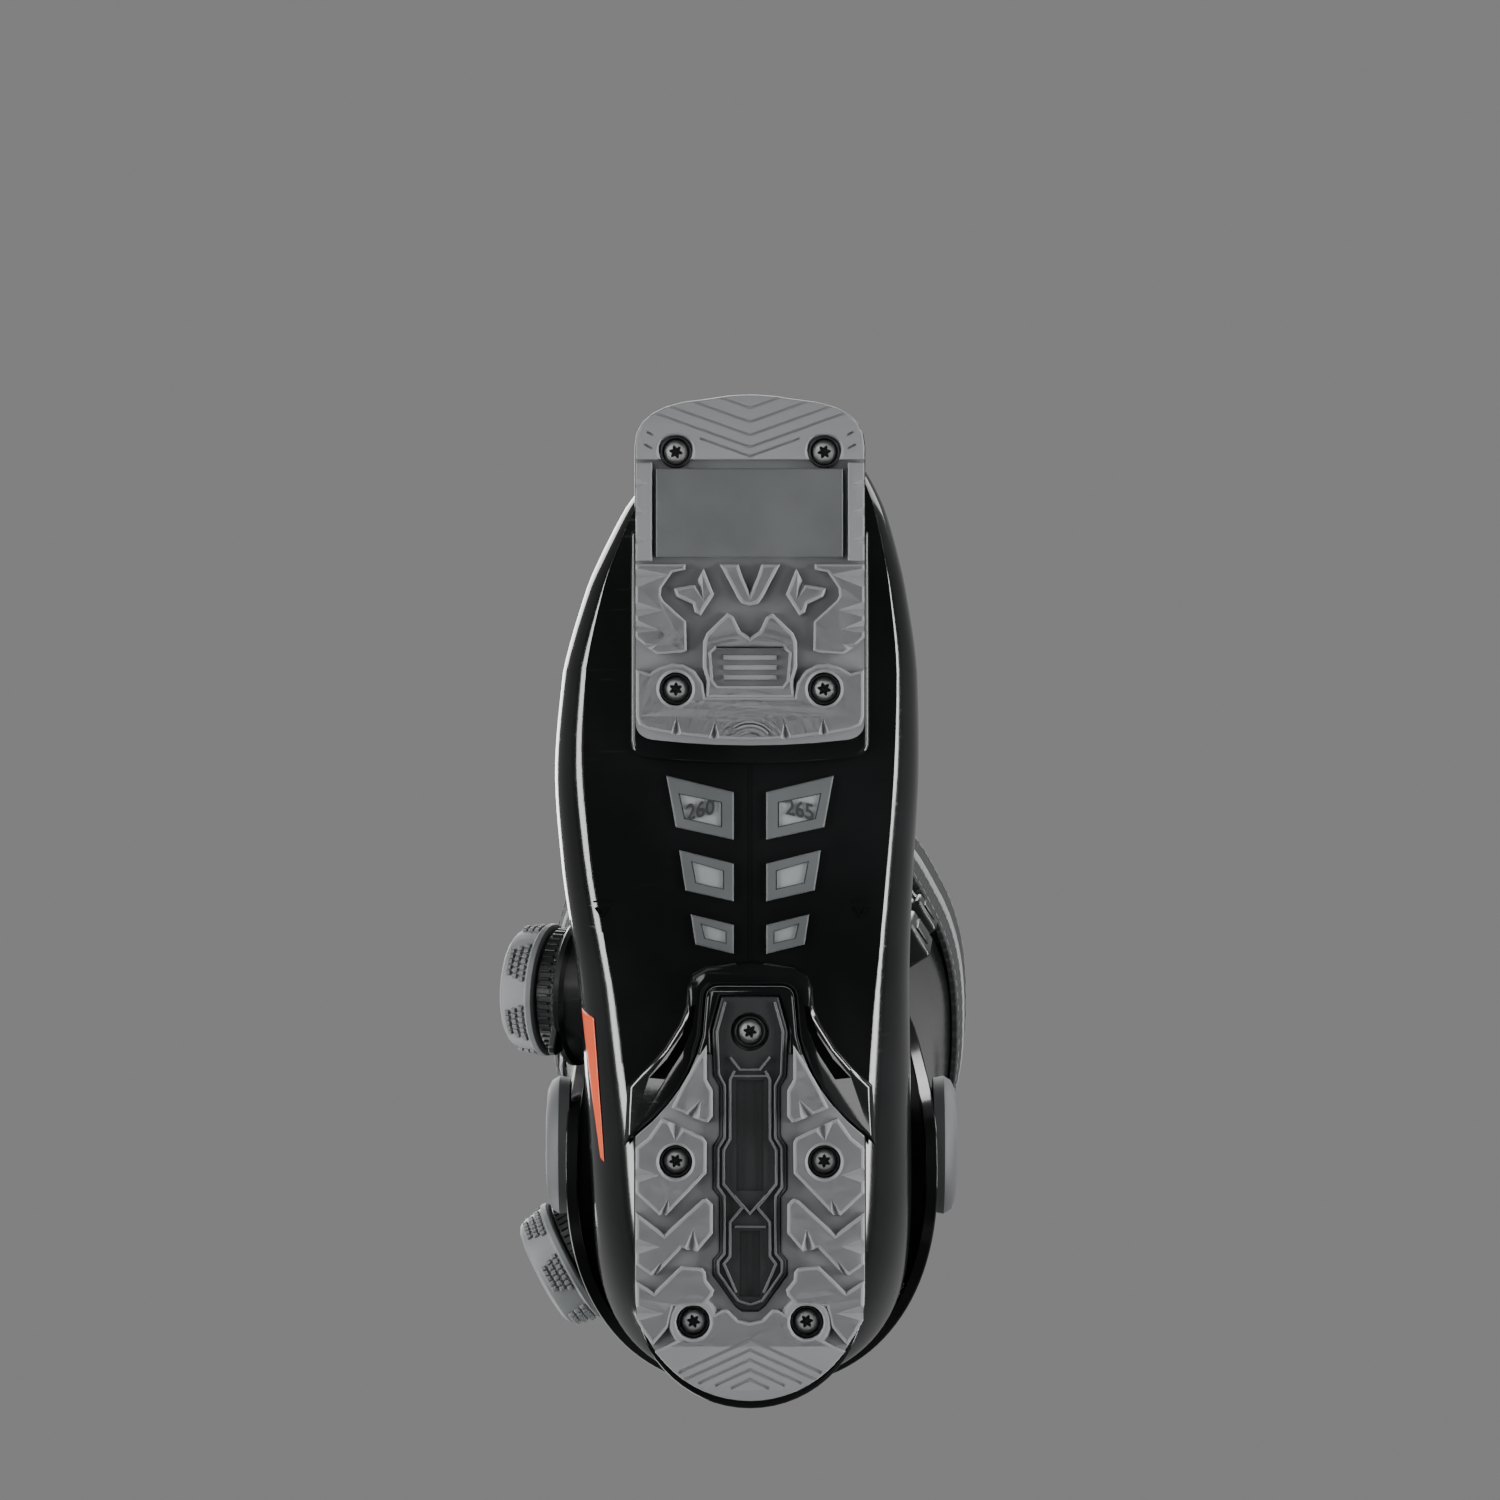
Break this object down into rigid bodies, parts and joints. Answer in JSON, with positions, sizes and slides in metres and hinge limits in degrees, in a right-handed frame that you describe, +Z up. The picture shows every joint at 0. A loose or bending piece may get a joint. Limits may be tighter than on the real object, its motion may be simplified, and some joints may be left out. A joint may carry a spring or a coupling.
{
  "type": "alpine ski boot",
  "caption": "Right alpine ski boot: hard overlap shell and hinged cuff closed by two lace dials, screwed-on walking soles, padded liner and power strap.",
  "frame": {"origin": "on the ground, under the middle of the whole boot's bounding box", "axes": "+Z up, -Y towards the toe, +Y towards the heel, -X towards the outer side of the right foot, where the dials are"},
  "size_m": [0.1524, 0.307, 0.3277],
  "materials": {
    "shell": "polished black moulding",
    "cuff": "satin black moulding",
    "sole_rubber": "matt dark grey moulded rubber",
    "sole_insert": "matt black moulded rubber",
    "arch_inlay": "satin grey soft plastic",
    "footboard": "matt black foam board",
    "liner": "padded black textile",
    "strap": "dark grey woven webbing",
    "lace": "fine twisted steel cable",
    "knob_grip": "matt grey grip",
    "steel": "bright steel",
    "housing": "black moulding"
  },
  "bodies": {
    "lower_boot": {"lower_shell": "shell", "toe_sole": "sole_rubber", "heel_sole": "sole_rubber", "heel_insert": "sole_insert", "arch_inlay": "arch_inlay", "footboard": "footboard", "toe_screw_1": "steel", "toe_screw_2": "steel", "toe_screw_3": "steel", "toe_screw_4": "steel", "heel_screw_1": "steel", "heel_screw_2": "steel", "heel_screw_3": "steel", "heel_screw_4": "steel", "heel_screw_5": "steel", "liner_boot": "liner", "pivot_bolt_lateral": "steel", "pivot_nut_lateral": "steel", "pivot_bolt_medial": "steel", "pivot_nut_medial": "steel", "instep_dial_base": "housing", "instep_lace": "lace", "instep_guide_medial_front": "housing", "instep_guide_medial_rear": "housing", "instep_guide_lateral": "housing"},
    "cuff_assembly": {"cuff": "cuff", "rear_spoiler": "housing", "liner_shaft": "liner", "liner_tongue": "liner", "power_strap": "strap", "strap_rivet_1": "steel", "strap_rivet_2": "steel", "cuff_dial_base": "housing", "cuff_lace": "lace", "cuff_guide_medial": "housing", "cuff_guide_lateral": "housing", "cuff_guide_anchor": "housing"},
    "instep_spool_body": {"instep_spool": "housing"},
    "instep_knob_body": {"instep_knob": "knob_grip", "instep_knob_cap": "housing"},
    "cuff_spool_body": {"cuff_spool": "housing"},
    "cuff_knob_body": {"cuff_knob": "knob_grip", "cuff_knob_cap": "housing"}
  },
  "joints": [
    {"name": "cuff_flex", "type": "hinge", "parent": "lower_boot", "child": "cuff_assembly", "pos_m": [0.002, 0.07734, 0.088], "axis": [1, 0, 0], "range_deg": [0, 8], "stiffness_Nm_per_rad": 570},
    {"name": "instep_dial_turn", "type": "hinge", "parent": "lower_boot", "child": "instep_spool_body", "pos_m": [-0.0506, 0.02934, 0.084], "axis": [-0.9494, -0.05, 0.3101], "continuous": true},
    {"name": "instep_dial_pull", "type": "slide", "parent": "instep_spool_body", "child": "instep_knob_body", "axis": [-0.9494, -0.05, 0.3101], "range_m": [0, 0.0025]},
    {"name": "cuff_dial_turn", "type": "hinge", "parent": "cuff_assembly", "child": "cuff_spool_body", "pos_m": [-0.04636, 0.11496, 0.172], "axis": [-0.8805, 0.4703, 0.06], "continuous": true},
    {"name": "cuff_dial_pull", "type": "slide", "parent": "cuff_spool_body", "child": "cuff_knob_body", "axis": [-0.8805, 0.4703, 0.06], "range_m": [0, 0.0025]}
  ]
}
